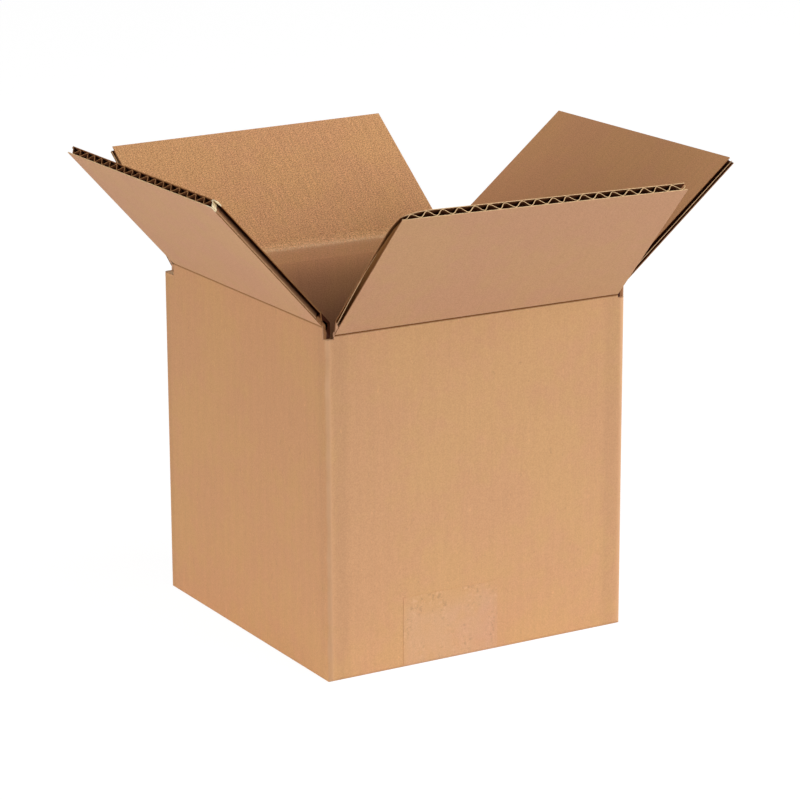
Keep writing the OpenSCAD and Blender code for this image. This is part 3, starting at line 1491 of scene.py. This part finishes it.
@dataclass
class Score:
    """The two liners where they bend between a wall and its flap.

    Each is a strip. Its far side has the fold's material, and its rim that of the crushed board.

    Args:
        flap: the flap that turns there.
    """

    flap: Flap

    @property
    def tight(self) -> bool:
        """Whether the closed side flaps pass so close that the inner liner stays down in the groove."""
        return self.flap.side is Side.FRONT

    @staticmethod
    def _inward(tilt: float) -> Vector:
        """The direction straight into a board that is tilted outward."""
        return Vector((0, math.sin(tilt), -math.cos(tilt)))

    def _strip(
        self, name: str, path: Sequence[Vector], way: Vector, thickness: float, paper: bpy.types.Material
    ) -> bpy.types.Object:
        """Extrudes an edge that runs along the score step by step along a path.

        Args:
            name: the strip's name.
            path: the section's points, as (0, up, outward) from the turning line.
            way: the direction that the drawn face looks in.
            thickness: how far the strip reaches behind that face.
            paper: the face's material.

        Returns:
            The strip, in the flat drawing's axes.
        """
        papers = (paper, self.flap.papers.fold, self.flap.papers.crushed)
        cells = 30
        inset = 0.05 * MM
        spare = 1 * MM
        low = (self.flap.root[0] + inset, path[0].y)
        high = (self.flap.root[1] - inset, path[0].y + spare)
        strip = Bench.sheet(name, low, high, path[0].z, (cells, 1))
        Bench.choose(strip, lambda point: point.y > path[0].y + spare / 2)
        bpy.ops.mesh.delete(type="VERT")
        Bench.done()
        steps = [there - here for here, there in zip(path, path[1:])]
        Bench.extend(strip, every, steps)
        Bench.face(strip, way)
        Bench.thicken(strip, thickness, -1, papers)
        return strip

    def _place(self, strip: bpy.types.Object, reach: float) -> bpy.types.Object:
        """Marks a strip and moves it to its score.

        Args:
            strip: the strip, in the flat drawing's axes.
            reach: how far it runs to each side of the middle of the bend.

        Returns:
            The finished piece.
        """
        hinge = self.flap.hinge
        lean = math.tan(hinge.tilt / 2)

        def behind(point: Vector) -> Sequence[float]:
            """How far a point is behind the outer face of the flap, or of the wall below the bend."""
            on_flap = point.y * math.sin(hinge.tilt) - point.z * math.cos(hinge.tilt)
            return ((on_flap if point.y > -point.z * lean else -point.z) / MM, 0, 0)

        Bench.store(strip, "board", self.flap.on_paper)
        Bench.store(strip, "through", behind)
        Bench.smooth(strip, degrees=40)
        Bench.settle(strip, hinge.placing(0))
        start = hinge.at - hinge.way * reach
        end = hinge.at + hinge.way * reach
        hinge.body
        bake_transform(strip)
        return strip

    def outside(self) -> bpy.types.Object:
        """Makes the bottom of the valley between the wall's and the flap's outer faces, coloured with
        painted crease shade.

        Returns:
            The finished piece.
        """
        board = self.flap.board
        tilt = self.flap.hinge.tilt
        pressed = 1.5 * MM
        loose = 2.7 * MM
        filled = pressed if self.tight else loose
        turns = 12
        radius = math.hypot(board.score_gap, board.foot(board.score_gap))
        half = board.mitre + tilt / 2
        angles = [tilt / 2 + half * (2 * step / turns - 1) for step in range(turns + 1)]
        path = [self._inward(angle) * radius for angle in angles]
        name = f"{self.flap.side.label}_score_outside"
        strip = self._strip(name, path, -self._inward(tilt / 2), filled, self.flap.papers.line)
        return self._place(strip, radius * math.sin(half))

    def inside(self) -> bpy.types.Object:
        """Makes the inner liner's bend, from the wall's inner face to the flap's.

        Returns:
            The finished piece.
        """
        tilt = self.flap.hinge.tilt
        depth = self.flap.board.inner_face
        length = self.flap.board.crush_width
        radius = 1.4 * MM
        filled = 2.3 * MM
        rubbed = 2.2 * MM
        straight = 5
        turns = 6
        before = (depth - radius) * math.tan(tilt / 2)
        wall = [-length + (before + length) * step / straight for step in range(straight)]
        path = [Vector((0, up, -depth)) for up in wall]
        for step in range(turns + 1):
            angle = tilt * step / turns
            outward = radius - depth - radius * math.cos(angle)
            path.append(Vector((0, before + radius * math.sin(angle), outward)))
        up = length * math.cos(tilt) + depth * math.sin(tilt)
        end = Vector((0, up, length * math.sin(tilt) - depth * math.cos(tilt)))
        last = path[-1]
        path += [last.lerp(end, (step + 1) / straight) for step in range(straight)]
        name = f"{self.flap.side.label}_score_inside"
        strip = self._strip(name, path, -UP, filled, self.flap.papers.fold)
        middle = Vector((0, math.tan(tilt / 2), -1)) * depth

        def worn(point: Vector) -> Sequence[float]:
            """How much the bend is rubbed and carries painted highlight at a point, from 1 in its middle
            down to 0.
            """
            away = math.hypot(point.y - middle.y, point.z - middle.z)
            return (max(0, 1 - away / rubbed), 0, 0)

        Bench.store(strip, "bend", worn)
        return self._place(strip, length * math.cos(tilt / 2) + depth * math.sin(tilt / 2))


@dataclass
class Carton:
    """The whole carton: its walls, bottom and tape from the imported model, and its new flaps.

    Args:
        board: the board's sizes.
    """

    board: Board

    def _flap(self, side: Side, papers: Papers, **state: float) -> Flap:
        """Prepares one flap, with the number of its side as its seed."""
        seed = list(Side).index(side) + 1
        return Flap(Hinge(side), self.board, papers, seed, **state)

    def _flaps(self) -> list[Flap]:
        """Prepares the four flaps, each with the papers and the wear of its own side.

        Returns:
            The flaps.
        """
        hollow = Hollow("inside_the_flutes").material()
        right = Papers(
            outer=LinerFace("outer_liner_side", FLAP_OUTER, SOFT_CREASE_SHADE, 0.5).material(),
            inner=LinerFace("inner_liner_face", INNER).material(),
            hollow=hollow,
            flank=hollow,
            edge=TornPaper("cut_liner_edge").material(),
            flute_edge=TornPaper("cut_flute_edge", side=FLUTE_SIDE).material(),
            crushed=TornPaper("crushed_edge", CRUSHED_EDGE, CRUSHED_EDGE).material(),
            line=CreaseLine("crease_side", SOFT_CREASE_SHADE).material(),
            fold=FoldedLiner("inner_liner_fold", INNER).material(),
        )
        left = replace(
            right,
            flank=Hollow("flute_flanks", LEFT_MOUTH_SHADE, LEFT_DEEP_SHADE, 3.5).material(),
            edge=TornPaper("left_liner_edge", inner=LEFT_INNER_EDGE).material(),
            flute_edge=TornPaper("left_flute_edge", LEFT_FLUTE_EDGE, FLUTE_SIDE).material(),
            crushed=CrushedEdge("crushed_side_edge").material(),
        )
        back = replace(
            right,
            inner=LinerFace("inner_liner_coarse", COARSE).material(),
            flank=Hollow("back_flute_flanks", BACK_MOUTH_SHADE, BACK_DEEP_SHADE, 3).material(),
            fold=FoldedLiner("inner_liner_coarse_fold", COARSE).material(),
        )
        front_flank = Hollow("front_flute_flanks", FRONT_MOUTH_SHADE, FRONT_DEEP_SHADE, 3).material()
        front = replace(
            right,
            outer=LinerFace("outer_liner_front", FLAP_OUTER, FRONT_CREASE_SHADE, 0.55).material(),
            hollow=front_flank,
            flank=front_flank,
            line=CreaseLine("crease_front", FRONT_CREASE_SHADE).material(),
        )
        return [
            self._flap(Side.FRONT, front, phase=0.25, droop=3.1 * MM, pinch=2.4 * MM),
            self._flap(Side.BACK, back, droop=3.4 * MM),
            self._flap(Side.LEFT, left, phase=0.62),
            self._flap(Side.RIGHT, right, phase=0.2),
        ]

    def build(self) -> list[bpy.types.Object]:
        """Builds the flaps and their scores, and dresses the rest.

        Returns:
            The new pieces.
        """
        pieces = []
        for flap in self._flaps():
            score = Score(flap)
            pieces += [flap.build(), score.outside()]
            if not score.tight:
                pieces.append(score.inside())
        self._dress(Hinge(Side.FRONT), Hinge(Side.LEFT))
        return pieces

    def _dress(self, front: Hinge, left: Hinge) -> None:
        """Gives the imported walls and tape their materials.

        Args:
            front: the front flap's hinge.
            left: the left flap's hinge.
        """
        slot_drop = 1.8 * MM
        outside = abs(front.at.y) - self.board.score_gap
        paper = WallPaper(self.board, outside, front.at.z - slot_drop, front.at.z, left.at.z)
        self._finish("box_body", paper.material())
        self._finish("bottom_tape", TapeFilm(paper).material())

    def _finish(self, node: str, material: bpy.types.Material) -> None:
        """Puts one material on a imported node.

        Args:
            node: the node's name.
            material: its only material.
        """
        slots = frame["nodes"][node].data.materials
        slots.clear()
        slots.append(material)


@dataclass(frozen=True)
class Lamp:
    """A soft square lamp that points at the carton.

    Args:
        name: the lamp's name.
        azimuth: its direction in degrees, from straight in front towards the right.
        elevation: its height in degrees.
        share: the light that it gives to a surface that faces it, where 1 shows colours as written.
        size: the length of its sides.
        distance: how far away it is.
    """

    name: str
    azimuth: float
    elevation: float
    share: float
    size: float = 1.2
    distance: float = 2.2

    def hang(self, target: Vector) -> None:
        """Makes the lamp.

        Args:
            target: the point that it is aimed at.
        """
        turn = math.radians(self.azimuth)
        rise = math.radians(self.elevation)
        level = math.cos(rise)
        toward = Vector((math.sin(turn) * level, -math.cos(turn) * level, math.sin(rise)))
        data = bpy.data.lights.new(self.name, "AREA")
        data.shape = "SQUARE"
        data.size = self.size
        data.energy = self.share * (math.pi * self.distance) ** 2
        lamp = bpy.data.objects.new(self.name, data)
        lamp.location = target + toward * self.distance
        lamp.rotation_euler = toward.to_track_quat("Z", "Y").to_euler()
        bpy.context.collection.objects.link(lamp)


@dataclass
class Studio:
    """The camera, the lamps, the white surroundings and the floor.

    Args:
        lens_mm: the camera's focal length, for a sensor 36 mm wide.
        eye: where the camera stands.
        yaw: how far it is turned from looking along +Y, in degrees.
        pitch: how far it looks down, in degrees.
        roll: how far it is rolled, in degrees.
    """

    lens_mm: float = 140.93
    eye: tuple[float, float, float] = (-0.72719, -1.25233, 0.50141)
    yaw: float = -30.317
    pitch: float = 15.370
    roll: float = -0.215

    def camera(self) -> None:
        """Puts the camera where the photograph was taken from."""
        data = bpy.data.cameras.new("camera")
        data.lens = self.lens_mm
        data.sensor_width = 36
        camera = bpy.data.objects.new("camera", data)
        turn = Matrix.Rotation(math.radians(self.yaw), 4, "Z")
        tip = Matrix.Rotation(math.radians(90 - self.pitch), 4, "X")
        roll = Matrix.Rotation(math.radians(self.roll), 4, "Z")
        camera.matrix_world = Matrix.Translation(self.eye) @ turn @ tip @ roll
        bpy.context.collection.objects.link(camera)
        bpy.context.scene.camera = camera

    def surroundings(self, glow: float) -> None:
        """Makes a world that looks white and lights the carton softly.

        Args:
            glow: its light, where 1 alone would show colours as written.
        """
        world = bpy.data.worlds.new("surroundings")
        bpy.context.scene.world = world
        world.use_nodes = True
        world.node_tree.nodes.clear()
        tree = Tree(world.node_tree)
        soft = tree.node("ShaderNodeBackground", {}, {"Color": WHITE, "Strength": glow})
        white = tree.node("ShaderNodeBackground", {}, {"Color": WHITE, "Strength": 1})
        tree.close("ShaderNodeOutputWorld", tree.seen(), soft, white)

    def floor(self, glow: float) -> None:
        """Makes a white floor that keeps the carton's shadow.

        Args:
            glow: the share of plain white in what is seen of it.
        """
        bpy.ops.object.select_all(action="DESELECT")
        bpy.ops.mesh.primitive_plane_add(size=12, location=(0, 0, 0))
        floor = bpy.context.object
        floor.name = "floor"
        material = bpy.data.materials.new("white_floor")
        material.use_nodes = True
        material.node_tree.nodes.clear()
        tree = Tree(material.node_tree)
        paint = (0.9, 0.9, 0.9, 1)
        brightness = 1.15
        matt = tree.node("ShaderNodeBsdfDiffuse", {}, {"Color": paint})
        white = tree.node("ShaderNodeEmission", {}, {"Strength": brightness})
        tree.close("ShaderNodeOutputMaterial", tree.seen() * glow, matt, white)
        floor.data.materials.append(material)

    def build(self) -> None:
        """Sets up the camera, the light and the floor."""
        self.camera()
        target = Vector((0, 0, 0.1))
        Lamp("front_lamp", azimuth=12, elevation=20, share=0.288).hang(target)
        Lamp("left_lamp", azimuth=-95, elevation=8, share=0.56).hang(target)
        Lamp("right_lamp", azimuth=60, elevation=20, share=0.614).hang(target)
        self.surroundings(glow=0.225)
        self.floor(glow=0.82)
        bpy.context.scene.view_settings.view_transform = "Standard"


def main() -> None:
    """Builds the carton and the studio in order."""
    logging.basicConfig(level=logging.INFO, format="%(message)s")
    Studio().build()
    for piece in Carton(Board()).build():
        log.info("%s: %d faces", piece.name, len(piece.data.polygons))


if __name__ == "__main__":
    main()
